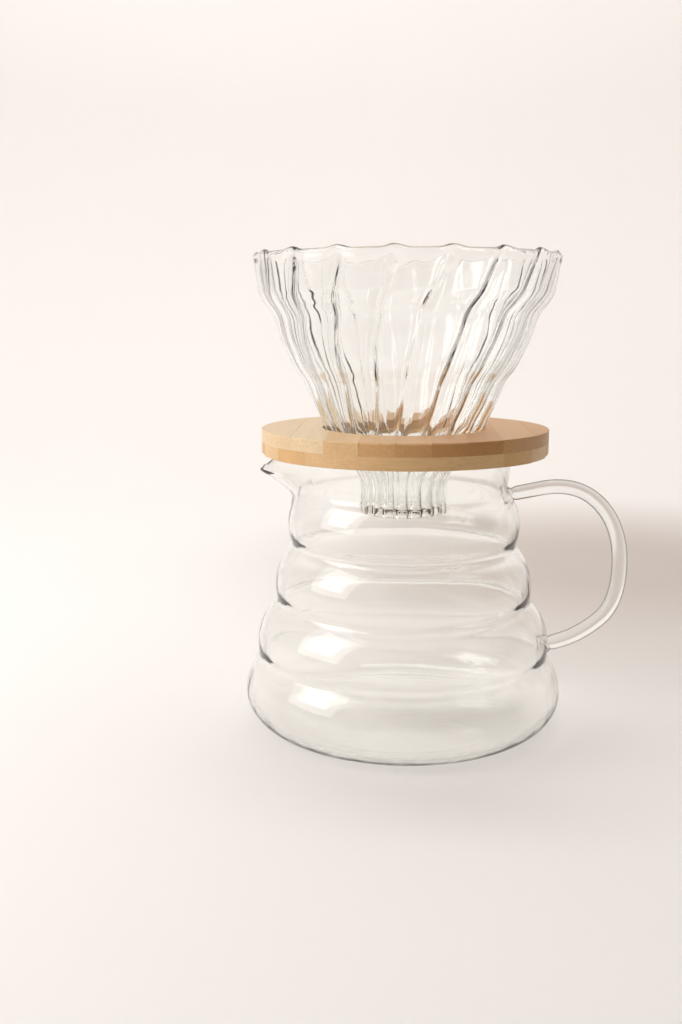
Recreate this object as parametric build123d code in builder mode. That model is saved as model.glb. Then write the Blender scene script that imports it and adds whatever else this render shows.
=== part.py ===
from build123d import *

import os
from math import cos, radians, sin

# Glass pour-over coffee set, in millimetres. The origin is the centre of the server's
# foot ring, +Z is up, the handle is towards +X and the pouring lip towards -X.
os.makedirs("parts", exist_ok=True)

# Server: blown glass with three ring bulges over a wide base
WALL = 2.4
MOUTH_Z = 107.7
MOUTH_R = 41.3
NECK_Z, NECK_R = 100.0, 40.6
GROOVES = [(93.5, 40.0), (72.0, 43.2), (50.0, 49.3), (28.5, 56.8)]  # height, outer radius
BULGE_RISE = 3.4  # how far each ring swells past the line between its grooves
WAIST_Z, WAIST_R = 21.5, 60.7  # between the lowest groove and the widest ring
BASE_Z, BASE_R = 14.0, 62.2  # the widest ring
FOOT_R = 46.0  # where the rounding under the widest ring meets the table
PUNT_R, PUNT_RISE = 40.0, 0.8  # shallow recess inside the foot ring
FLOOR = 3.4

# Pouring lip, pulled out of the neck on the -X side
LIP_Z, LIP_TOP = 86.0, 100.7
LIP_LEVELS = [LIP_Z, 90.0, 94.0, 98.0, LIP_TOP, MOUTH_Z]
LIP_START = 39.8  # just inside the neck's outer surface
LIP_REACH = 15.8
LIP_CURVE = 1.5  # power with which the reach grows from LIP_Z to LIP_TOP
LIP_HALF_WIDTH = 32  # degrees from the lip's middle to where it fades out
LIP_STEP = 8
LIP_SLOPE = 0.85  # fall of the rim towards the tip
LIP_TIP = LIP_START + LIP_REACH
LIP_ROOT = 28.0  # where the lip's solid starts inside the server
MARGIN = 2.0  # by which a cutting shape runs past the glass

# Handle: a solid glass rod bent into an ear and fused to the server
ROD_R = 3.0
HANDLE_CORNERS = [
    (37.5, 90.9),
    (66.9, 97.1),
    (84.5, 79.5),
    (84.5, 48.5),
    (69.9, 35.7),
    (51.0, 29.6),
]
HANDLE_BENDS = [20.0, 32.0, 26.0, 35.0]

# Collar: two plies of bamboo strips with the grain crossed
COLLAR_R = 55.0
COLLAR_Z = 108.0
PLY = 4.8
SEAM_Z = COLLAR_Z + PLY
COLLAR_TOP = SEAM_Z + PLY
COLLAR_ROUND = 1.2
UPPER_HOLE, LOWER_HOLE = 31.6, 27.4
STRIPS = 9
UPPER_JOINT, UPPER_PITCH = -40.4, 12.45  # first glue line of the upper ply, and from line to line
LOWER_JOINT, LOWER_PITCH = -42.77, 12.22

# Cone: pressed glass in three tiers with twisted flutes, a neck and a foot
FLUTES = 18
CONE_WALL = 2.2
# height, outer radius over the flutes, fold depth, degrees from +X to the first fold
CONE_LEVELS = [
    (84.2, 17.2, 0.3, -1.5),
    (85.8, 17.7, 0.3, -1.5),
    (88.0, 17.1, 0.5, -1.5),
    (92.0, 16.7, 0.6, -1.5),
    (96.5, 17.0, 0.6, -1.5),
    (100.5, 18.5, 0.7, -1.0),
    (104.0, 20.7, 0.7, 0.2),
    (COLLAR_Z, 23.5, 0.8, 1.9),
    (SEAM_Z, 26.9, 0.9, 4.3),
    (COLLAR_TOP, 31.0, 1.0, 7.0),
    (122.0, 32.8, 1.2, 8.1),
    (127.0, 35.2, 1.3, 9.4),
    (132.0, 37.3, 1.4, 10.7),
    (136.5, 39.4, 1.5, 11.8),
    (139.5, 41.8, 1.6, 12.6),
    (142.0, 43.3, 1.5, 13.2),
    (146.0, 45.1, 1.4, 14.2),
    (151.0, 47.3, 1.3, 15.5),
    (156.0, 48.9, 1.4, 16.9),
    (159.0, 49.9, 1.5, 17.8),
    (162.0, 51.6, 1.6, 18.5),
    (164.5, 53.6, 1.6, 19.5),
    (167.0, 55.1, 1.5, 20.7),
    (172.0, 56.2, 1.3, 22.5),
    (178.0, 57.4, 1.1, 24.4),
    (183.4, 58.1, 0.8, 26.3),
]


def save(solid, name):
    """Labels a finished piece and writes it as its own STEP file."""
    solid.label = name
    export_step(solid, f"parts/{name}.step")


def server_half(inset, floor):
    """Revolved body of the server: its outer surface, or its cavity when inset is the wall."""
    base = (BASE_R - inset, BASE_Z)
    rings = [(radius - inset, height) for height, radius in reversed(GROOVES)]
    mouth = (MOUTH_R - inset, MOUTH_Z)
    with BuildPart() as body:
        with BuildSketch(Plane.XZ):
            with BuildLine():
                turn = (BASE_R - FOOT_R - inset, BASE_Z - floor)
                EllipticalCenterArc((FOOT_R, BASE_Z), *turn, start_angle=-90, arc_size=90)
                ThreePointArc(base, (WAIST_R - inset, WAIST_Z), rings[0])
                for low, high in zip(rings, rings[1:]):
                    middle = ((low[0] + high[0]) / 2 + BULGE_RISE, (low[1] + high[1]) / 2)
                    ThreePointArc(low, middle, high)
                ThreePointArc(rings[-1], (NECK_R - inset, NECK_Z), mouth)
                Polyline(mouth, (0, MOUTH_Z), (0, floor), (FOOT_R, floor))
            make_face()
        revolve(axis=Axis.Z)
    return body.part


def lip_radius(height, angle, inset):
    """How far the lip's wall stands from the axis, at an angle from its middle."""
    share = min(1.0, (height - LIP_Z) / (LIP_TOP - LIP_Z))
    fade = cos(radians(90 * angle / LIP_HALF_WIDTH)) ** 2
    return LIP_START - inset + LIP_REACH * share**LIP_CURVE * fade


def lip_half(inset):
    """Beak that is pulled from the neck, as a ruled loft of level sections."""
    with BuildPart() as beak:
        for height in LIP_LEVELS:
            edge = []
            for angle in range(-LIP_HALF_WIDTH, LIP_HALF_WIDTH + 1, LIP_STEP):
                reach = lip_radius(height, angle, inset)
                edge.append((-reach * cos(radians(angle)), reach * sin(radians(angle))))
            root = -LIP_ROOT + inset
            with BuildSketch(Plane.XY.offset(height)):
                with BuildLine():
                    Spline(*edge)
                    Polyline(edge[-1], (root, edge[-1][1]), (root, edge[0][1]), edge[0])
                make_face()
        loft(ruled=True)
    return beak.part


def fluted_half(inset):
    """Ruled loft through closed fluted rings, which turn with height."""
    with BuildPart() as body:
        for height, radius, depth, turn in CONE_LEVELS:
            ring = []
            for i in range(2 * FLUTES):
                angle = radians(turn + i * 180 / FLUTES)
                reach = radius - inset - (0 if i % 2 else depth)
                ring.append((reach * cos(angle), reach * sin(angle)))
            with BuildSketch(Plane.XY.offset(height)):
                with BuildLine():
                    Spline(*ring, periodic=True)
                make_face()
        loft(ruled=True)
    return body.part


def strip_edges(first, pitch, index):
    """Where a strip starts and ends across its ply."""
    lines = [first + pitch * i for i in range(STRIPS - 1)]
    return [-COLLAR_R, *lines, COLLAR_R][index : index + 2]


def ply_strip(base_z, hole, rounded, direction, edges):
    """One bamboo strip of a ply, cut to the round outline and the stepped hole."""
    across, width = sum(edges) / 2, edges[1] - edges[0]
    with BuildPart() as strip:
        with BuildSketch(Plane.XZ) as section:
            with Locations((hole, base_z)):
                Rectangle(COLLAR_R - hole, PLY, align=(Align.MIN, Align.MIN))
            outer = section.vertices().group_by(Axis.X)[-1].sort_by(Axis.Y)
            fillet(outer[-1] if rounded == "top" else outer[0], COLLAR_ROUND)
        revolve(axis=Axis.Z)
        with BuildSketch(Plane.XY.offset(base_z)):
            if direction == "y":
                with Locations((across, 0)):
                    Rectangle(width, 2 * COLLAR_R)
            else:
                with Locations((0, across)):
                    Rectangle(2 * COLLAR_R, width)
        extrude(amount=PLY, mode=Mode.INTERSECT)
    return strip.part


# Server body: outer form with the lip, less the cavity, less the glass above the sloping rim
with BuildPart() as server_body:
    add(server_half(0, 0))
    add(lip_half(0))
    add(server_half(WALL, FLOOR), mode=Mode.SUBTRACT)
    add(lip_half(WALL), mode=Mode.SUBTRACT)
    with BuildSketch(Plane.XZ):
        rise = MOUTH_Z - LIP_TOP
        with BuildLine():
            Polyline(
                (-LIP_TIP - MARGIN, LIP_TOP - LIP_SLOPE * MARGIN),
                (-LIP_TIP + rise / LIP_SLOPE, MOUTH_Z),
                (-LIP_TIP + rise / LIP_SLOPE, MOUTH_Z + MARGIN),
                (-LIP_TIP - MARGIN, MOUTH_Z + MARGIN),
                close=True,
            )
        make_face()
    extrude(amount=MOUTH_R, both=True, mode=Mode.SUBTRACT)
    with BuildSketch():
        Circle(PUNT_R)
    extrude(amount=PUNT_RISE, mode=Mode.SUBTRACT)
save(server_body.part, "server_body")

# Handle: the rod is cut to meet the server's outer surface face to face
with BuildPart() as server_handle:
    with BuildLine(Plane.XZ) as ear:
        FilletPolyline(*HANDLE_CORNERS, radius=HANDLE_BENDS)
    with BuildSketch(Plane(origin=ear.line @ 0, z_dir=ear.line % 0)):
        Circle(ROD_R)
    sweep()
    add(server_half(0, 0), mode=Mode.SUBTRACT)
save(server_handle.part, "server_handle")

# Collar strips: the upper ply runs front to back, the lower one side to side
for number in range(STRIPS):
    span = strip_edges(UPPER_JOINT, UPPER_PITCH, number)
    save(ply_strip(SEAM_Z, UPPER_HOLE, "top", "y", span), f"collar_upper_strip_{number + 1}")
    span = strip_edges(LOWER_JOINT, LOWER_PITCH, number)
    save(ply_strip(COLLAR_Z, LOWER_HOLE, "bottom", "x", span), f"collar_lower_strip_{number + 1}")

# Dripper cone: open at the rim and at the foot
with BuildPart() as dripper_cone:
    add(fluted_half(0))
    add(fluted_half(CONE_WALL), mode=Mode.SUBTRACT)
save(dripper_cone.part, "dripper_cone")
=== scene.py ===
import math

import bmesh
import bpy
import numpy as np
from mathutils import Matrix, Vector


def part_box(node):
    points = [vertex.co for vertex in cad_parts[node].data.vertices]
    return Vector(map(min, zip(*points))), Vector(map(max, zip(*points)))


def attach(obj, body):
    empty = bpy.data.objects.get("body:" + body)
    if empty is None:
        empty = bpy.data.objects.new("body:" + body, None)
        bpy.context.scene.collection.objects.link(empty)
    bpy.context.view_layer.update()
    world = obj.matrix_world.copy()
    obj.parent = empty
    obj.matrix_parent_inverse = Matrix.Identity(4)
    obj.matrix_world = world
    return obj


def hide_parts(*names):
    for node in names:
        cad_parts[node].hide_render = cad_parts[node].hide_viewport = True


# Clear glass pour-over set: a fluted dripper cone in a bamboo collar, on a ringed server with a
# rod handle. Lengths are in metres, and MM turns the profiles' millimetres into metres.
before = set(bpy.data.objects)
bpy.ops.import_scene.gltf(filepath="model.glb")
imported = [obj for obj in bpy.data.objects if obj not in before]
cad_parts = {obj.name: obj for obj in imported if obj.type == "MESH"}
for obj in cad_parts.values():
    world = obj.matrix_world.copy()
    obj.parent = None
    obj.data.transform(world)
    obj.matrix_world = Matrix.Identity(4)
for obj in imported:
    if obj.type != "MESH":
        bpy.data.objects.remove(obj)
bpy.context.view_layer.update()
MM = 0.001

# Places taken from the frame
CONE_FOOT_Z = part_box("dripper_cone")[0].z
MOUTH_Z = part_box("server_body")[1].z
UPPER_LOW, UPPER_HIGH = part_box("collar_upper_strip_5")
LOWER_LOW, LOWER_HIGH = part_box("collar_lower_strip_5")
COLLAR_RADIUS = UPPER_HIGH.y

# Camera: level with the cone's bowl, looking a little down
CAMERA_PLACE = (0.0, -0.42, 0.1604)
CAMERA_DOWN, CAMERA_LEFT = 10.3, 3.34  # degrees
CAMERA_LENS = 38.25

# Cone: height above its foot, radius over the flutes, fold depth, all in millimetres
CONE_PROFILE = [
    (0.0, 17.1, 0.3), (1.8, 17.6, 0.35), (4.0, 17.0, 0.5), (8.0, 16.7, 0.6), (12.3, 17.0, 0.65),
    (16.3, 18.5, 0.7), (19.8, 20.7, 0.7), (23.8, 23.4, 0.8), (28.6, 26.8, 0.9), (33.4, 30.9, 1.1),
    (37.8, 32.7, 1.3), (42.8, 35.1, 1.3), (47.8, 37.2, 1.4), (52.3, 39.4, 1.7), (55.3, 41.7, 1.9),
    (57.8, 43.2, 1.7), (61.8, 45.0, 1.4), (66.8, 47.2, 1.2), (71.8, 48.8, 1.4), (74.8, 49.8, 1.8),
    (77.8, 51.5, 2.0), (80.3, 53.5, 1.9), (82.8, 55.0, 1.6), (87.8, 56.1, 1.3), (93.8, 57.2, 1.1),
    (96.7, 57.8, 0.9),
]
# Cone: height above its foot, and degrees by which the folds have turned there
CONE_TURNS = [
    (0.0, -1.5), (14.0, -1.5), (20.8, 0.5), (33.4, 7.0), (66.8, 15.5), (72.8, 17.2), (78.8, 18.8),
    (83.1, 20.8), (90.2, 23.4), (96.7, 26.1),
]
FLUTES = 18
FLUTE_STEPS = 20
FOLD = 0.08  # softness of the fold between two flutes
FOLD_PACK = 0.75  # how much closer the points stand near a fold
FOLD_RIB = 0.5  # how much thicker the glass is in a fold
RIM_BUMP, RIM_BUMP_WIDTH = 1.0 * MM, 0.26  # the rim stands up where a fold meets it
RIM_BLEND = 5.0 * MM
RIM_BEAD, RIM_BEAD_HEIGHT = 0.35 * MM, 2.4 * MM
FOOT_BEAD, FOOT_BEAD_HEIGHT = 0.5 * MM, 3.2 * MM
FOOT_BLEND = 5.0 * MM  # height over which the rounded foot is brought down to the frame's
CONE_STEP = 0.7 * MM
CONE_WALL = 1.9 * MM

# Server: heights and outer radii in millimetres
GROOVES = [(28.5, 56.8), (50.0, 49.3), (72.0, 43.2), (93.5, 40.0)]
BULGE_RISE = 3.4
WAIST = (21.5, 60.7)
WIDEST = (14.0, 62.2)
FOOT_R, FOOT_OUT = 43.0, 46.0  # where the server touches the table, and where its heel starts
PUNT, HEEL = 0.8, 1.2  # rise of the bottom inside the foot, and how fast it rises outside
FOOT_STEP, HEEL_STEPS = 1.0, 24
NECK, MOUTH_R = (100.0, 40.6), 41.3
SERVER_STEP = 0.8  # millimetres between the rings of points
SERVER_TURNS = 288
SERVER_WALL, SERVER_FLOOR, MOUTH_WALL = 1.7 * MM, 2.0 * MM, 1.5 * MM
GROOVE_WALL, GROOVE_HEIGHT = 0.35 * MM, 3.0 * MM  # the glass is thicker behind a groove
LIP_Z, LIP_TIP_Z, LIP_REACH = 86.0 * MM, 100.7 * MM, 15.0 * MM
LIP_ANGLE, LIP_DIP_ANGLE = 32.0, 21.0  # degrees to each side of the lip's middle
LIP_CURVE = 1.5  # power with which the lip's reach grows with height

# Handle: corners that the bent rod rounds, in millimetres, in the XZ plane
HANDLE_CORNERS = [
    (38.6, 91.1), (66.9, 97.1), (84.4, 79.5), (84.4, 48.5), (69.9, 35.7), (54.6, 30.8),
]
ROD_THIN, ROD_THICK = 2.75 * MM, 3.0 * MM
WELD_FLARE, WELD_PINCH = 1.0 * MM, 0.45 * MM  # where the rod is fused to the body
WELD_AT, WELD_WIDTH = 3.6 * MM, 0.9 * MM  # from the rod's end, inside the wall, to the pinch
ROD_START_STEPS, ROD_STEPS, ROD_SIDES = 24, 14, 32

# Collar: two plies of strips, with the glue lines where the frame has them
HOLE_UPPER, HOLE_LOWER = 31.6 * MM, 27.4 * MM
STRIPS = 9
EDGE_ROUND, GLUE_ROUND = 1.2 * MM, 0.1 * MM
CORNER = math.radians(30)  # edges of a strip that turn more than this are rounded
UPPER_TONES = [0.10, 0.07, 0.26, 0.55, 0.72, 0.95, 1.00, 0.78, 0.86]
LOWER_TONES = [0.25, 0.38, 0.20, 0.42, 0.30, 0.45, 0.28, 0.36, 0.22]

# Bamboo: noise scales along and across the grain, and the colours from a pale strip to a dark one
FIBRE_SCALE, BAND_SCALE = (30.0, 1300.0), (6.0, 160.0)
BROWNS = [(0.0, (0.78, 0.63, 0.42)), (0.3, (0.69, 0.43, 0.19)), (1.0, (0.475, 0.235, 0.08))]
FIBRE_TONES = [(0.3, (0.80, 0.74, 0.66)), (0.6, (1.0, 1.0, 1.0))]
BAND_TONES = [(0.3, (0.90, 0.87, 0.83)), (0.7, (1.0, 1.0, 1.0))]
BAMBOO_ROUGHNESS = (0.34, 0.50)

# Glass: surface tint, tint by depth, and tint of lamp light that crosses it square on and aslant
GLASS_IOR = 1.48
GLASS_TINT = (0.985, 0.992, 0.985)
GLASS_DEPTH_TINT, GLASS_DENSITY = (0.73, 0.78, 0.70, 1), 6.0
LIGHT_TINT, SLANT_LIGHT_TINT = (0.985, 0.985, 0.98, 1), (0.80, 0.79, 0.78, 1)
RIPPLE_SCALE = 55.0
# Rays that were bent more often than this pass straight on, so that none is trapped in a wall
DEEPEST = 8.0
# Waviness of the surface, painted shade at the outline (the colour where the glass is seen aslant),
# and where that shade starts and is full
PRESSED = (0.14, (0.94, 0.95, 0.93), (0.4, 0.9))
BLOWN = (0.18, (0.92, 0.93, 0.92), (0.4, 0.9))
# The rod's outline colour is nearly black: painted dark edge lines
ROD = (0.05, (0.01, 0.011, 0.01), (0.24, 0.52))

# Sweep: radius of the floor and of the curve up from it, height of the wall, and paper tones
FLOOR_R, SWEEP_R, WALL_TOP = 0.75, 0.45, 1.5
SWEEP_TURNS, FLOOR_RINGS, CURVE_RINGS = 96, 6, 12
PAPER = [(0.3, (0.86, 0.83, 0.808)), (0.7, (0.87, 0.845, 0.82))]
# Painted shade: middle of each darker part of the paper, the distances from it where that is full
# and where it ends, and tone
ROOM_SHADES = [
    ((0.55, -1.05, 0.80), (0.55, 1.20), (0.21, 0.195, 0.185)),
    ((1.20, -0.20, 0.50), (0.30, 0.75), (0.30, 0.275, 0.26)),
    # The last is a painted shadow on the floor behind the server and its handle
    ((0.135, 0.28, 0.0), (0.04, 0.30), (0.57, 0.51, 0.47)),
]

# Light: name, place, the point it faces, width and height, and watts
LIGHTS = [
    ("window", (-0.62, -0.25, 0.48), (0, 0, 0.09), (0.34, 0.50), 1.3),
    ("window_glow", (-0.66, -0.27, 0.51), (0, 0, 0.09), (0.62, 0.85), 2.8),
    ("wall_wash", (-0.25, 0.45, 1.25), (-0.2, 1.2, 0.5), (1.0, 0.4), 6.0),
]
LAMP_COLOUR = (1.0, 0.985, 0.975)
SKY_COLOUR, SKY_STRENGTH = (1.0, 0.975, 0.96, 1), 0.79


# ---------------------------------------------------------------- shapes

def smooth_curve(points, column):
    """A smooth function of the first column through the given column of a table of points."""
    x = np.array([p[0] for p in points])
    y = np.array([p[column] for p in points])
    slope = np.gradient(y, x)

    def value(at):
        k = np.clip(np.searchsorted(x, at) - 1, 0, len(x) - 2)
        width = x[k + 1] - x[k]
        t = np.clip((at - x[k]) / width, 0, 1)
        rise = (1 + 2 * t) * (1 - t) ** 2 * y[k] + t**2 * (3 - 2 * t) * y[k + 1]
        return rise + width * t * (1 - t) * ((1 - t) * slope[k] - t * slope[k + 1])

    return value


def arc_points(start, middle, end, step):
    """Points on the arc from start through middle to end, without the end."""
    (ax, ay), (bx, by), (cx, cy) = start, middle, end
    d = 2 * (ax * (by - cy) + bx * (cy - ay) + cx * (ay - by))
    a2, b2, c2 = ax * ax + ay * ay, bx * bx + by * by, cx * cx + cy * cy
    ox = (a2 * (by - cy) + b2 * (cy - ay) + c2 * (ay - by)) / d
    oy = (a2 * (cx - bx) + b2 * (ax - cx) + c2 * (bx - ax)) / d
    radius = math.hypot(ax - ox, ay - oy)
    first = math.atan2(ay - oy, ax - ox)
    turn = math.remainder(math.atan2(cy - oy, cx - ox) - first, 2 * math.pi)
    count = max(2, round(abs(turn) * radius / step))
    angles = [first + turn * i / count for i in range(count)]
    return [(ox + radius * math.cos(a), oy + radius * math.sin(a)) for a in angles]


def grid_normals(grid):
    """Unit normals of a grid of points that closes on itself along its second axis."""
    along = np.gradient(grid, axis=0)
    around = np.roll(grid, -1, axis=1) - np.roll(grid, 1, axis=1)
    normal = np.cross(around, along)
    return normal / np.linalg.norm(normal, axis=2, keepdims=True)


def lip_rows(outer, inner, heading, steps=8):
    """Rows of a rounded lip that joins an outer ring to an inner one, swelling towards heading."""
    middle, half = (outer + inner) / 2, (outer - inner) / 2
    radius = np.linalg.norm(half, axis=1, keepdims=True)
    angles = [math.pi * i / steps for i in range(1, steps)]
    return [middle + half * math.cos(a) + heading * radius * math.sin(a) for a in angles]


def ring_headings(grid, last):
    """The direction in which a grid's profile runs out at its last row, or its first."""
    step = grid[-1] - grid[-2] if last else grid[0] - grid[1]
    return step / np.linalg.norm(step, axis=1, keepdims=True)


def mesh_piece(name, points, faces, material):
    """A smooth-shaded object made from points and faces."""
    mesh = bpy.data.meshes.new(name)
    mesh.from_pydata([tuple(p) for p in points], [], faces)
    mesh.validate()
    mesh.shade_smooth()
    mesh.materials.append(material)
    piece = bpy.data.objects.new(name, mesh)
    bpy.context.collection.objects.link(piece)
    return piece


def rings_to_mesh(name, rows, material, looped):
    """Joins rings of points into one closed mesh: a looped tube, or one capped at both ends."""
    count = rows.shape[1]
    points = list(rows.reshape(-1, 3))
    faces = []
    for i in range(len(rows) if looped else len(rows) - 1):
        low, high = i * count, ((i + 1) % len(rows)) * count
        for j in range(count):
            k = (j + 1) % count
            faces.append((low + j, low + k, high + k, high + j))
    if not looped:
        for row, flip in ((0, True), (len(rows) - 1, False)):
            points.append(rows[row].mean(axis=0))
            centre = len(points) - 1
            for j in range(count):
                pair = (row * count + j, row * count + (j + 1) % count)
                faces.append((pair[1], pair[0], centre) if flip else (*pair, centre))
    return mesh_piece(name, points, faces, material)


def fade(share):
    """Goes smoothly from 0 to 1 as its argument does, and stays there beyond."""
    share = np.clip(share, 0, 1)
    return share**2 * (3 - 2 * share)


def flute_pattern():
    """Around one turn: each point's angle, how deep in a fold it is, and the rim's rise there."""
    step = np.arange(FLUTE_STEPS) / FLUTE_STEPS
    across = step - FOLD_PACK * np.sin(2 * math.pi * step) / (2 * math.pi)
    swell = np.sqrt(np.sin(math.pi * across) ** 2 + FOLD**2)
    fold = 1 - (swell - FOLD) / (swell.max() - FOLD)
    nearest = np.minimum(across, 1 - across) / RIM_BUMP_WIDTH
    bump = np.cos(math.pi / 2 * np.clip(nearest, 0, 1)) ** 2
    around = np.concatenate([(i + across) / FLUTES for i in range(FLUTES)]) * 2 * math.pi
    return around, np.tile(fold, FLUTES), np.tile(bump, FLUTES)


def cone_piece(material):
    """The dripper cone: fluted rings that turn with height, a wavy fire-polished rim and a foot."""
    tall = CONE_PROFILE[-1][0] * MM
    heights = np.linspace(0, tall, round(tall / CONE_STEP) + 1)
    radius = smooth_curve(CONE_PROFILE, 1)(heights / MM) * MM
    depth = smooth_curve(CONE_PROFILE, 2)(heights / MM) * MM
    turn = np.radians(smooth_curve(CONE_TURNS, 1)(heights / MM))
    around, fold, bump = flute_pattern()

    angle = around[None, :] + turn[:, None]
    reach = radius[:, None] - depth[:, None] * fold[None, :]
    lift = RIM_BUMP * fade(1 - (tall - heights) / RIM_BLEND)[:, None] * bump[None, :]
    z = CONE_FOOT_Z + heights[:, None] + lift
    outer = np.stack([reach * np.cos(angle), reach * np.sin(angle), z + 0 * angle], axis=2)
    bead = RIM_BEAD * fade(1 - (tall - heights) / RIM_BEAD_HEIGHT)
    foot_bead = FOOT_BEAD * fade(1 - heights / FOOT_BEAD_HEIGHT)
    rib = FOLD_RIB * fade((tall - heights) / RIM_BLEND)[:, None] * fold[None, :] ** 3
    wall = CONE_WALL * (1 + rib) + (bead + foot_bead)[:, None]
    inner = outer - grid_normals(outer) * wall[:, :, None]
    rim = lip_rows(outer[-1], inner[-1], ring_headings(outer, True))
    foot = lip_rows(inner[0], outer[0], ring_headings(outer, False))
    rows = np.array([*outer, *rim, *inner[::-1], *foot])
    low = rows[:, :, 2].min()
    settle = np.clip(1 - (rows[:, :, 2] - low) / FOOT_BLEND, 0, 1)
    rows[:, :, 2] += settle * (CONE_FOOT_Z - low)
    return rings_to_mesh("dripper_cone_glass", rows, material, looped=True)


def server_outline():
    """Outer profile of the server from its axis to its mouth, as radii and heights."""
    points = []
    for r in np.arange(FOOT_STEP, FOOT_OUT - FOOT_STEP / 2, FOOT_STEP):
        rise = 1 - (r / FOOT_R) ** 2
        points.append((r, PUNT * rise if r < FOOT_R else -HEEL * rise))
    foot = len(points)
    wide, tall = WIDEST[1] - FOOT_OUT, WIDEST[0]
    for i in range(HEEL_STEPS):
        a = math.pi / 2 * i / HEEL_STEPS
        heel = HEEL * ((FOOT_OUT / FOOT_R) ** 2 - 1) * math.cos(a) ** 4
        points.append((FOOT_OUT + wide * math.sin(a), tall - tall * math.cos(a) + heel))
    stops = [(r, z) for z, r in GROOVES]
    points += arc_points((WIDEST[1], WIDEST[0]), (WAIST[1], WAIST[0]), stops[0], SERVER_STEP)
    for low, high in zip(stops, stops[1:]):
        middle = ((low[0] + high[0]) / 2 + BULGE_RISE, (low[1] + high[1]) / 2)
        points += arc_points(low, middle, high, SERVER_STEP)
    mouth = (MOUTH_R, MOUTH_Z / MM - MOUTH_WALL / MM / 2)
    points += arc_points(stops[-1], (NECK[1], NECK[0]), mouth, SERVER_STEP) + [mouth]
    points = np.array(points)
    for _ in range(3):  # rounds the grooves, and leaves the foot ring as it is
        before, after = points[foot + 3:-2], points[foot + 5:]
        points[foot + 4:-1] = (before + 2 * points[foot + 4:-1] + after) / 4
    return points * MM


def server_piece(material):
    """The blown server: a ringed body whose neck is pulled out into a pouring lip."""
    outline = server_outline()
    angle = np.arange(SERVER_TURNS) * 2 * math.pi / SERVER_TURNS
    off = np.degrees(np.abs(np.abs(angle) - math.pi))  # from the lip's middle, at -X
    pull = np.cos(np.radians(90 * np.clip(off / LIP_ANGLE, 0, 1))) ** 2
    dip = np.cos(np.radians(90 * np.clip(off / LIP_DIP_ANGLE, 0, 1))) ** 2
    radius, height = outline[:, 0][:, None], outline[:, 1][:, None]
    top = outline[-1, 1]
    share = np.clip((height - LIP_Z) / (top - LIP_Z), 0, 1)
    z = height - share * dip[None, :] * (MOUTH_Z - LIP_TIP_Z)
    rise = np.clip((z - LIP_Z) / (LIP_TIP_Z - LIP_Z), 0, 1)
    reach = radius + LIP_REACH * rise**LIP_CURVE * pull[None, :]
    outer = np.stack([reach * np.cos(angle), reach * np.sin(angle), z + 0 * angle], axis=2)
    thick = np.clip(1 - outline[:, 1] / (WIDEST[0] * MM), 0, 1)
    thin = fade((outline[:, 1] - LIP_Z) / (top - LIP_Z))
    wall = SERVER_WALL + (SERVER_FLOOR - SERVER_WALL) * thick - (SERVER_WALL - MOUTH_WALL) * thin
    for groove, _ in GROOVES[:-1]:
        wall += GROOVE_WALL * np.exp(-(((outline[:, 1] - groove * MM) / GROOVE_HEIGHT) ** 2))
    inner = outer - grid_normals(outer) * wall[:, None, None]
    rim = lip_rows(outer[-1], inner[-1], ring_headings(outer, True))
    rows = np.array([*outer, *rim, *inner[::-1]])
    return rings_to_mesh("server_body_glass", rows, material, looped=False)


def rod_path(corners):
    """Points along a rod that rounds each corner between the middles of its two runs."""
    corners = [Vector((x, 0, z)) * MM for x, z in corners]
    middles = [(a + b) / 2 for a, b in zip(corners, corners[1:])]
    path = [corners[0].lerp(middles[0], i / ROD_START_STEPS) for i in range(ROD_START_STEPS)]
    for start, corner, end in zip(middles, corners[1:-1], middles[1:]):
        for i in range(ROD_STEPS):
            t = i / ROD_STEPS
            path.append(start.lerp(corner, t).lerp(corner.lerp(end, t), t))
    return path + [middles[-1].lerp(corners[-1], i / ROD_STEPS) for i in range(ROD_STEPS + 1)]


def handle_piece(material):
    """The solid rod handle, a little thicker low down and flared where it is fused on."""
    path = rod_path(HANDLE_CORNERS)
    lengths = [0.0]
    for a, b in zip(path, path[1:]):
        lengths.append(lengths[-1] + (b - a).length)
    rows = []
    for i, (point, run) in enumerate(zip(path, lengths)):
        ahead = path[min(i + 1, len(path) - 1)] - path[max(i - 1, 0)]
        side = Vector((0, 1, 0))
        up = ahead.normalized().cross(side)
        end = min(run, lengths[-1] - run)
        flare = WELD_FLARE * max(0.0, 1 - end / WELD_AT)
        pinch = WELD_PINCH * math.exp(-(((end - WELD_AT) / WELD_WIDTH) ** 2))
        share = min(1.0, run / lengths[-1] * 2)
        radius = ROD_THIN + (ROD_THICK - ROD_THIN) * share + flare - pinch
        turns = [2 * math.pi * k / ROD_SIDES for k in range(ROD_SIDES)]
        rows.append([point + (side * math.cos(a) + up * math.sin(a)) * radius for a in turns])
    return rings_to_mesh("server_handle_rod", np.array(rows), material, looped=False)


def clip_arc(radius, low, high, steps=48):
    """Points of the upper half circle between two x values, from low to high."""
    first = math.acos(max(-1.0, min(1.0, low / radius)))
    last = math.acos(max(-1.0, min(1.0, high / radius)))
    angles = [first + (last - first) * i / steps for i in range(steps + 1)]
    return [(radius * math.cos(a), radius * math.sin(a)) for a in angles]


def below(points):
    """The same points on the other half of the circle."""
    return [(x, -y) for x, y in points]


def strip_outlines(low, high, hole):
    """Outlines of the part of a ring between two x values: two mirrored ones next to the hole."""
    outer = clip_arc(COLLAR_RADIUS, low, high)
    if low >= hole or high <= -hole:
        return [outer + below(reversed(outer))]
    half = outer + list(reversed(clip_arc(hole, max(low, -hole), min(high, hole))))
    if high > hole:
        half.insert(len(outer), (high, 0.0))
    if low < -hole:
        half.append((low, 0.0))
    return [half, below(reversed(half))]


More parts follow.
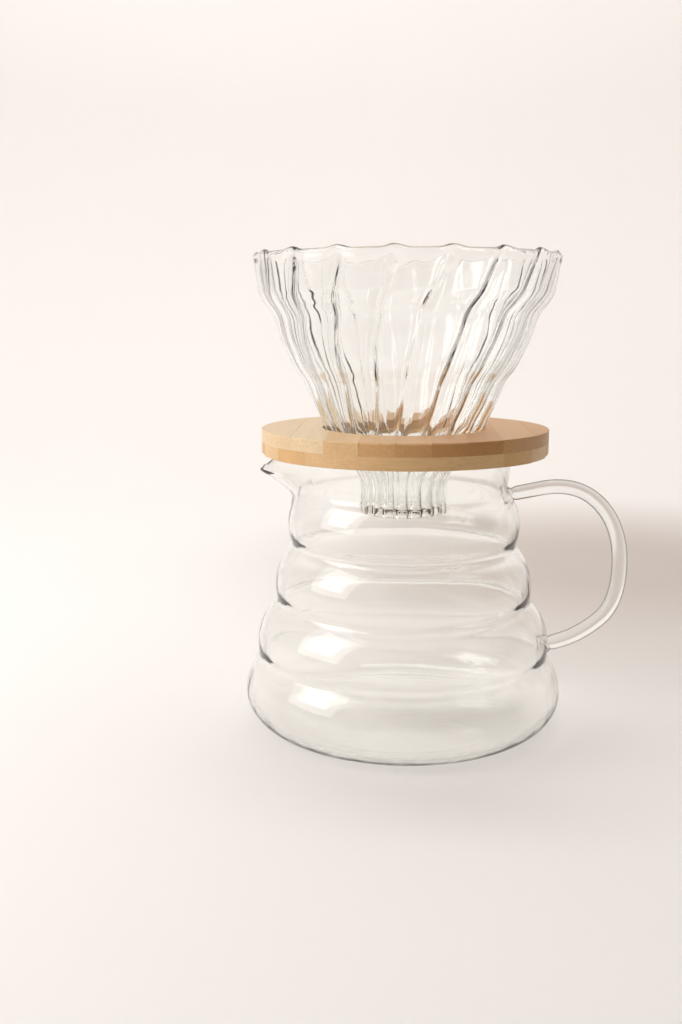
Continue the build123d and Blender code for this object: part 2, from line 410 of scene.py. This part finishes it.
def strip_piece(name, node, outlines, low_z, high_z, rounded_z, swap, tone, material):
    """One bamboo strip: its outlines extruded, with the collar's rim rounded over."""
    shape = bmesh.new()
    weight = shape.edges.layers.float.new("bevel_weight_edge")
    corners = {}
    faces = []
    for outline in outlines:
        base = []
        for x, y in outline:
            place = (y, x, low_z) if swap else (x, y, low_z)
            key = tuple(round(v, 7) + 0.0 for v in place)
            if key not in corners:
                corners[key] = shape.verts.new(place)
            if corners[key] not in base:
                base.append(corners[key])
        faces.append(shape.faces.new(base))
    raised = bmesh.ops.extrude_face_region(shape, geom=faces)
    moved = [v for v in raised["geom"] if isinstance(v, bmesh.types.BMVert)]
    bmesh.ops.translate(shape, vec=(0, 0, high_z - low_z), verts=moved)
    bmesh.ops.recalc_face_normals(shape, faces=shape.faces)
    for edge in shape.edges:
        ends = [v.co for v in edge.verts]
        level = all(abs(p.z - rounded_z) < 1e-6 for p in ends)
        rim = all(abs(math.hypot(p.x, p.y) - COLLAR_RADIUS) < 1e-5 for p in ends)
        if edge.calc_face_angle(0.0) > CORNER:
            edge[weight] = 1.0 if level and rim else GLUE_ROUND / EDGE_ROUND
    mesh = bpy.data.meshes.new(name)
    shape.to_mesh(mesh)
    shape.free()
    mesh.attributes.new("tone", "FLOAT", "POINT")
    mesh.attributes["tone"].data.foreach_set("value", [tone] * len(mesh.vertices))
    mesh.shade_smooth()
    mesh.materials.append(material)
    piece = bpy.data.objects.new(name, mesh)
    bpy.context.collection.objects.link(piece)
    bevel = piece.modifiers.new("rounding", "BEVEL")
    bevel.limit_method = "WEIGHT"
    bevel.width = EDGE_ROUND
    bevel.segments = 4
    normals = piece.modifiers.new("shading", "WEIGHTED_NORMAL")
    normals.keep_sharp = True
    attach(piece, "collar")
    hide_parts(node)
    return piece


# ---------------------------------------------------------------- materials

def node_material(name):
    """A node material with its tree, its shader and its output."""
    material = bpy.data.materials.new(name)
    material.use_nodes = True
    tree = material.node_tree
    return material, tree, tree.nodes["Principled BSDF"], tree.nodes["Material Output"]


def add_node(tree, kind, **values):
    """A new node, with its sockets or settings set by name."""
    node = tree.nodes.new(kind)
    for key, value in values.items():
        if key in node.inputs:
            node.inputs[key].default_value = value
        else:
            setattr(node, key, value)
    return node


def glass_material(name, waviness, outline, reach):
    """Clear glass with faint ripples from forming, tinted by its depth, with painted shade at its
    outline.
    """
    material, tree, shader, output = node_material(name)
    links = tree.links
    # Painted shade: the colour goes from clear to the outline's darker colour where the surface is
    # seen aslant
    edge = add_node(tree, "ShaderNodeLayerWeight", Blend=0.35)
    tint = ramp(tree, edge.outputs["Facing"], [(reach[0], GLASS_TINT), (reach[1], outline)])
    links.new(tint, shader.inputs["Base Color"])
    shader.inputs["Roughness"].default_value = 0.0
    shader.inputs["IOR"].default_value = GLASS_IOR
    shader.inputs["Transmission Weight"].default_value = 1.0
    place = add_node(tree, "ShaderNodeTexCoord")
    ripple = add_node(tree, "ShaderNodeTexNoise", Scale=RIPPLE_SCALE, Detail=2.0)
    bump = add_node(tree, "ShaderNodeBump", Strength=waviness, Distance=0.001)
    links.new(place.outputs["Object"], ripple.inputs["Vector"])
    links.new(ripple.outputs["Fac"], bump.inputs["Height"])
    links.new(bump.outputs["Normal"], shader.inputs["Normal"])
    absorb = add_node(tree, "ShaderNodeVolumeAbsorption", Density=GLASS_DENSITY)
    absorb.inputs["Color"].default_value = GLASS_DEPTH_TINT
    links.new(absorb.outputs["Volume"], output.inputs["Volume"])
    let_light_through(tree, shader, output, edge)
    return material


def let_light_through(tree, shader, output, edge):
    """Lamp light and rays that were bent very often cross the glass without being bent."""
    links = tree.links
    ray = add_node(tree, "ShaderNodeLightPath")
    tint = add_node(tree, "ShaderNodeMix", data_type="RGBA")
    tint.inputs["A"].default_value = LIGHT_TINT
    tint.inputs["B"].default_value = SLANT_LIGHT_TINT
    through = add_node(tree, "ShaderNodeBsdfTransparent")
    deep = add_node(tree, "ShaderNodeMath", operation="GREATER_THAN")
    deep.inputs[1].default_value = DEEPEST
    passes = add_node(tree, "ShaderNodeMath", operation="MAXIMUM")
    mix = add_node(tree, "ShaderNodeMixShader")
    links.new(edge.outputs["Facing"], tint.inputs["Factor"])
    links.new(tint.outputs["Result"], through.inputs["Color"])
    links.new(ray.outputs["Ray Depth"], deep.inputs[0])
    links.new(ray.outputs["Is Shadow Ray"], passes.inputs[0])
    links.new(deep.outputs["Value"], passes.inputs[1])
    links.new(passes.outputs["Value"], mix.inputs["Fac"])
    links.new(shader.outputs["BSDF"], mix.inputs[1])
    links.new(through.outputs["BSDF"], mix.inputs[2])
    links.new(mix.outputs["Shader"], output.inputs["Surface"])


def ramp(tree, source, stops):
    """A colour ramp fed by source. stops are (place, colour)."""
    node = tree.nodes.new("ShaderNodeValToRGB")
    while len(node.color_ramp.elements) < len(stops):
        node.color_ramp.elements.new(0.5)
    for element, (place, colour) in zip(node.color_ramp.elements, stops):
        element.position = place
        element.color = (*colour, 1)
    tree.links.new(source, node.inputs["Fac"])
    return node.outputs["Color"]


def grain_noise(tree, along, scale, **values):
    """Noise that is drawn out along the grain. scale is along it, then across it."""
    run, across = scale
    stretch = (run, across, across) if along == "x" else (across, run, across)
    place = add_node(tree, "ShaderNodeTexCoord")
    drawn = add_node(tree, "ShaderNodeMapping", Scale=stretch)
    noise = add_node(tree, "ShaderNodeTexNoise", Scale=1.0, **values)
    tree.links.new(place.outputs["Object"], drawn.inputs["Vector"])
    tree.links.new(drawn.outputs["Vector"], noise.inputs["Vector"])
    return noise.outputs["Fac"]


def multiply(tree, base, over, share):
    """One colour multiplied into another, by a share."""
    mix = add_node(tree, "ShaderNodeMix", data_type="RGBA", blend_type="MULTIPLY")
    mix.inputs["Factor"].default_value = share
    tree.links.new(base, mix.inputs["A"])
    tree.links.new(over, mix.inputs["B"])
    return mix.outputs["Result"]


def bamboo_material(name, along):
    """Sanded bamboo: fine fibres along one axis, dots on the end grain, and a tone per strip."""
    material, tree, shader, _ = node_material(name)
    tone = add_node(tree, "ShaderNodeAttribute", attribute_name="tone")
    fibre = grain_noise(tree, along, FIBRE_SCALE, Detail=3.0, Roughness=0.6)
    band = grain_noise(tree, along, BAND_SCALE, Detail=2.0)
    body = ramp(tree, tone.outputs["Fac"], BROWNS)
    fine = multiply(tree, body, ramp(tree, fibre, FIBRE_TONES), 0.55)
    full = multiply(tree, fine, ramp(tree, band, BAND_TONES), 0.8)
    tree.links.new(full, shader.inputs["Base Color"])

    gloss = add_node(tree, "ShaderNodeMapRange")
    gloss.inputs["To Min"].default_value, gloss.inputs["To Max"].default_value = BAMBOO_ROUGHNESS
    tree.links.new(fibre, gloss.inputs["Value"])
    tree.links.new(gloss.outputs["Result"], shader.inputs["Roughness"])
    bump = add_node(tree, "ShaderNodeBump", Strength=0.12, Distance=0.0004)
    tree.links.new(fibre, bump.inputs["Height"])
    tree.links.new(bump.outputs["Normal"], shader.inputs["Normal"])
    return material


def stage_material():
    """Pale warm paper with painted shade: darker at the front and right than at the left and back.
    """
    material, tree, shader, _ = node_material("pale_paper")
    place = add_node(tree, "ShaderNodeTexCoord")
    speck = add_node(tree, "ShaderNodeTexNoise", Scale=3.0, Detail=2.0)
    tree.links.new(place.outputs["Object"], speck.inputs["Vector"])
    paper = ramp(tree, speck.outputs["Fac"], PAPER)
    # Each darker part is painted shade, mixed into the paper's colour
    for middle, reach, tone in ROOM_SHADES:
        away = add_node(tree, "ShaderNodeVectorMath", operation="DISTANCE")
        away.inputs[1].default_value = middle
        tree.links.new(place.outputs["Object"], away.inputs[0])
        shade = add_node(tree, "ShaderNodeMapRange", interpolation_type="SMOOTHSTEP")
        shade.inputs["From Min"].default_value = reach[1]
        shade.inputs["From Max"].default_value = reach[0]
        tree.links.new(away.outputs["Value"], shade.inputs["Value"])
        painted_shade_mix = add_node(tree, "ShaderNodeMix", data_type="RGBA")
        painted_shade_mix.inputs["B"].default_value = (*tone, 1)
        tree.links.new(shade.outputs["Result"], painted_shade_mix.inputs["Factor"])
        tree.links.new(paper, painted_shade_mix.inputs["A"])
        paper = painted_shade_mix.outputs["Result"]
    tree.links.new(paper, shader.inputs["Base Color"])
    shader.inputs["Roughness"].default_value = 0.9
    return material


# ---------------------------------------------------------------- stage, light and camera

def make_stage():
    """A round sweep of paper: a flat floor that curves up into a wall all the way round."""
    turns = SWEEP_TURNS
    profile = [(MM, 0.0)] + [(FLOOR_R * i / FLOOR_RINGS, 0.0) for i in range(1, FLOOR_RINGS + 1)]
    for i in range(1, CURVE_RINGS + 1):
        a = math.pi / 2 * i / CURVE_RINGS
        profile.append((FLOOR_R + SWEEP_R * math.sin(a), SWEEP_R - SWEEP_R * math.cos(a)))
    profile.append((FLOOR_R + SWEEP_R, WALL_TOP))
    angles = [2 * math.pi * j / turns for j in range(turns)]
    points = [(r * math.cos(a), r * math.sin(a), z) for r, z in profile for a in angles]
    faces = [tuple(range(turns))]
    for i in range(len(profile) - 1):
        for j in range(turns):
            k = (j + 1) % turns
            faces.append((i * turns + k, i * turns + j, (i + 1) * turns + j, (i + 1) * turns + k))
    mesh_piece("paper_sweep", points, faces, stage_material())


def area_light(name, place, target, size, watts):
    """A rectangular lamp that faces a point."""
    data = bpy.data.lights.new(name, "AREA")
    data.shape = "RECTANGLE"
    data.size, data.size_y = size
    data.energy = watts
    data.color = LAMP_COLOUR
    light = bpy.data.objects.new(name, data)
    light.location = place
    light.rotation_euler = (Vector(target) - Vector(place)).to_track_quat("-Z", "Y").to_euler()
    bpy.context.collection.objects.link(light)


def make_light():
    """A window-like key from the left with a glow round it, a wash on the wall, and a pale sky."""
    for light in LIGHTS:
        area_light(*light)
    world = bpy.data.worlds.new("sky")
    world.use_nodes = True
    bpy.context.scene.world = world
    sky = world.node_tree.nodes["Background"]
    sky.inputs["Color"].default_value = SKY_COLOUR
    sky.inputs["Strength"].default_value = SKY_STRENGTH


def make_camera():
    """The camera, which becomes the scene's own."""
    data = bpy.data.cameras.new("camera")
    data.lens = CAMERA_LENS
    data.clip_start = 0.01
    camera = bpy.data.objects.new("camera", data)
    camera.location = CAMERA_PLACE
    camera.rotation_euler = (math.radians(90 - CAMERA_DOWN), 0, math.radians(CAMERA_LEFT))
    bpy.context.collection.objects.link(camera)
    bpy.context.scene.camera = camera


def make_look():
    """Colour management, denoising, and bounces enough for glass behind glass."""
    scene = bpy.context.scene
    scene.view_settings.view_transform = "Standard"
    scene.cycles.use_denoising = True
    scene.cycles.max_bounces = 24
    scene.cycles.transmission_bounces = 24
    scene.cycles.transparent_max_bounces = 24
    scene.cycles.caustics_reflective = False
    scene.cycles.blur_glossy = 0.5


# ---------------------------------------------------------------- assembly

def make_glass():
    """The three glass pieces, each in a glass of its own."""
    cone = cone_piece(glass_material("pressed_glass", *PRESSED))
    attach(cone, "cone")
    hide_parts("dripper_cone")
    body = server_piece(glass_material("blown_glass", *BLOWN))
    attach(body, "server")
    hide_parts("server_body")
    handle = handle_piece(glass_material("rod_glass", *ROD))
    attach(handle, "server")
    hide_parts("server_handle")


def make_collar():
    """Both plies, strip by strip, each between the glue lines of its own CAD node."""
    plies = [
        ("upper", UPPER_LOW.z, UPPER_HIGH.z, UPPER_HIGH.z, HOLE_UPPER, "y", UPPER_TONES),
        ("lower", LOWER_LOW.z, LOWER_HIGH.z, LOWER_LOW.z, HOLE_LOWER, "x", LOWER_TONES),
    ]
    for ply, low_z, high_z, rounded_z, hole, along, tones in plies:
        material = bamboo_material(f"{ply}_bamboo", along)
        for number in range(1, STRIPS + 1):
            node = f"collar_{ply}_strip_{number}"
            low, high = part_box(node)
            across = 1 if along == "x" else 0
            outlines = strip_outlines(low[across], high[across], hole)
            piece = strip_piece(
                f"{ply}_bamboo_{number}", node, outlines, low_z, high_z, rounded_z,
                along == "x", tones[number - 1], material,
            )


make_look()
make_camera()
make_light()
make_stage()
make_collar()
make_glass()
